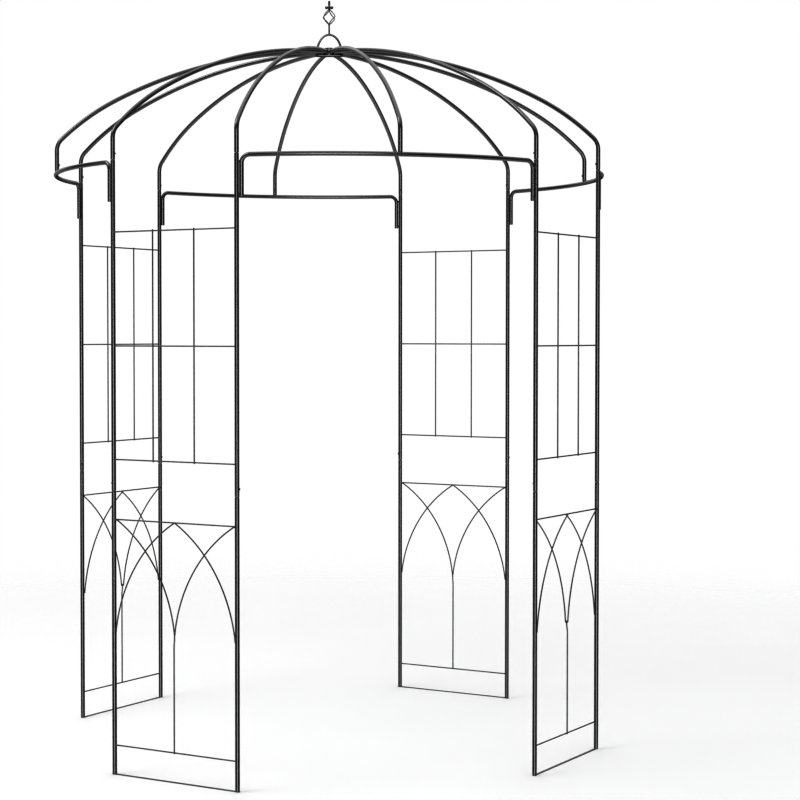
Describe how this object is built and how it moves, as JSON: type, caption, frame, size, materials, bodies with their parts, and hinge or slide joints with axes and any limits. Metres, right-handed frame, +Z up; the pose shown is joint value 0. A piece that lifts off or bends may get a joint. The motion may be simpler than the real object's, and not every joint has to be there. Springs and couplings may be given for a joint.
{
  "type": "garden gazebo arch",
  "caption": "Birdcage-shaped walk-through garden gazebo in black steel tube, with wire trellis panels, open doorways, a ribbed dome roof and a wire finial.",
  "frame": {"origin": "on the ground at the centre of the round plan", "axes": "+Z up; the front doorway faces -Y and the right doorway +X"},
  "size_m": [2.16, 2.16, 2.908],
  "materials": {
    "frame_paint": "satin black paint on steel tube",
    "wire_paint": "satin black paint on steel wire",
    "fastener": "blackened zinc"
  },
  "bodies": {
    "root": {"lower_post_fl_1": "frame_paint", "upper_post_fl_1": "frame_paint", "joint_screw_fl_1": "fastener", "roof_rib_fl_1": "frame_paint", "lower_post_fl_2": "frame_paint", "upper_post_fl_2": "frame_paint", "joint_screw_fl_2": "fastener", "roof_rib_fl_2": "frame_paint", "lower_lattice_fl": "wire_paint", "upper_lattice_fl": "wire_paint", "base_bar_fl": "frame_paint", "lower_post_fr_1": "frame_paint", "upper_post_fr_1": "frame_paint", "joint_screw_fr_1": "fastener", "roof_rib_fr_1": "frame_paint", "lower_post_fr_2": "frame_paint", "upper_post_fr_2": "frame_paint", "joint_screw_fr_2": "fastener", "roof_rib_fr_2": "frame_paint", "lower_lattice_fr": "wire_paint", "upper_lattice_fr": "wire_paint", "base_bar_fr": "frame_paint", "lower_post_br_1": "frame_paint", "upper_post_br_1": "frame_paint", "joint_screw_br_1": "fastener", "roof_rib_br_1": "frame_paint", "lower_post_br_2": "frame_paint", "upper_post_br_2": "frame_paint", "joint_screw_br_2": "fastener", "roof_rib_br_2": "frame_paint", "lower_lattice_br": "wire_paint", "upper_lattice_br": "wire_paint", "base_bar_br": "frame_paint", "lower_post_bl_1": "frame_paint", "upper_post_bl_1": "frame_paint", "joint_screw_bl_1": "fastener", "roof_rib_bl_1": "frame_paint", "lower_post_bl_2": "frame_paint", "upper_post_bl_2": "frame_paint", "joint_screw_bl_2": "fastener", "roof_rib_bl_2": "frame_paint", "lower_lattice_bl": "wire_paint", "upper_lattice_bl": "wire_paint", "base_bar_bl": "frame_paint", "header_bar_front": "frame_paint", "roof_rib_front": "frame_paint", "header_bar_right": "frame_paint", "roof_rib_right": "frame_paint", "header_bar_back": "frame_paint", "roof_rib_back": "frame_paint", "header_bar_left": "frame_paint", "roof_rib_left": "frame_paint", "hub_core": "frame_paint", "hub_plate": "frame_paint", "finial_hoop": "frame_paint", "finial_basket": "frame_paint", "finial_tip": "frame_paint", "finial_nut_1": "fastener", "finial_nut_2": "fastener"}
  },
  "joints": []
}
